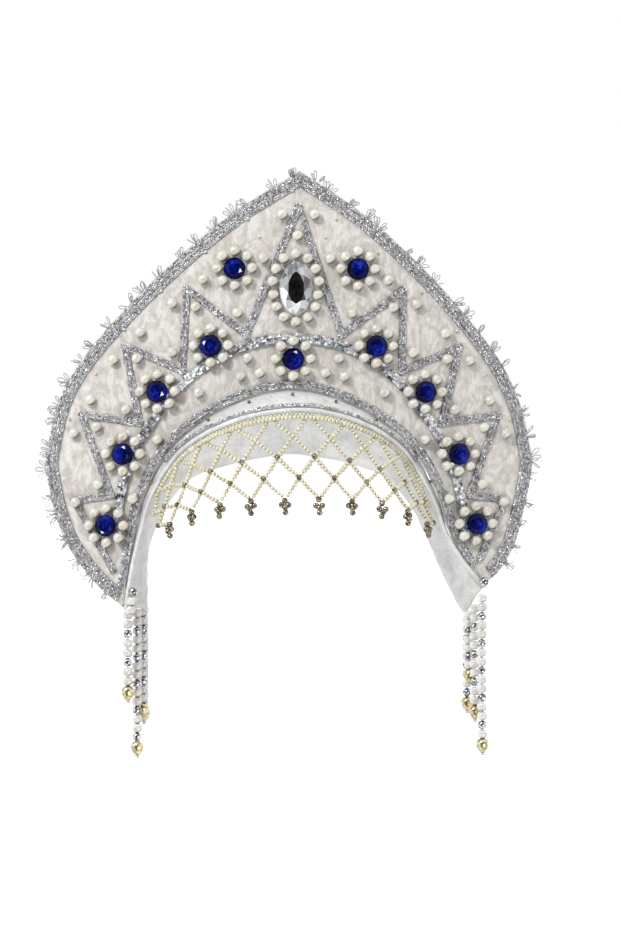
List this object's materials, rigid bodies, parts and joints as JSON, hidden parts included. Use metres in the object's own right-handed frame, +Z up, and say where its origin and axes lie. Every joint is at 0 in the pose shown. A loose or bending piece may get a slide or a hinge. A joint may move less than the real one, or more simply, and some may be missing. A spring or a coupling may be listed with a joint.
{
  "type": "kokoshnik headdress",
  "caption": "Pointed crest headdress with braid, blue stones and pearls on a satin head band, with a bead net and hanging bead strings.",
  "frame": {"origin": "where the underside of the head band rests on top of the head, under the middle of the crest", "axes": "+Z up along the crest's height, +X along its width, -Y out of its decorated front"},
  "size_m": [0.2658, 0.097, 0.3152],
  "materials": {
    "satin": "cream brushed satin",
    "band_satin": "white satin",
    "silver_braid": "woven metallic thread",
    "sequin_braid": "braid set with small sequins",
    "blue_glass": "cut and polished, foil backed",
    "clear_glass": "cut and polished, foil backed",
    "pearl_beads": "pearl lustre"
  },
  "bodies": {
    "root": {"crest_panel": "satin", "head_band": "band_satin", "edge_braid": "silver_braid", "zigzag_braid": "silver_braid", "inner_braid": "silver_braid", "band_braid": "silver_braid", "sequin_arc": "sequin_braid", "forehead_net": "pearl_beads", "drop_stone": "clear_glass", "blue_stone_1": "blue_glass", "blue_stone_2": "blue_glass", "blue_stone_3": "blue_glass", "blue_stone_4": "blue_glass", "blue_stone_5": "blue_glass", "blue_stone_6": "blue_glass", "blue_stone_7": "blue_glass", "blue_stone_8": "blue_glass", "blue_stone_9": "blue_glass", "blue_stone_10": "blue_glass", "blue_stone_11": "blue_glass", "bead_strand_1": "pearl_beads", "bead_strand_2": "pearl_beads", "bead_strand_3": "pearl_beads", "bead_strand_4": "pearl_beads", "bead_strand_5": "pearl_beads", "bead_strand_6": "pearl_beads", "bead_strand_7": "pearl_beads", "bead_strand_8": "pearl_beads"}
  },
  "joints": []
}
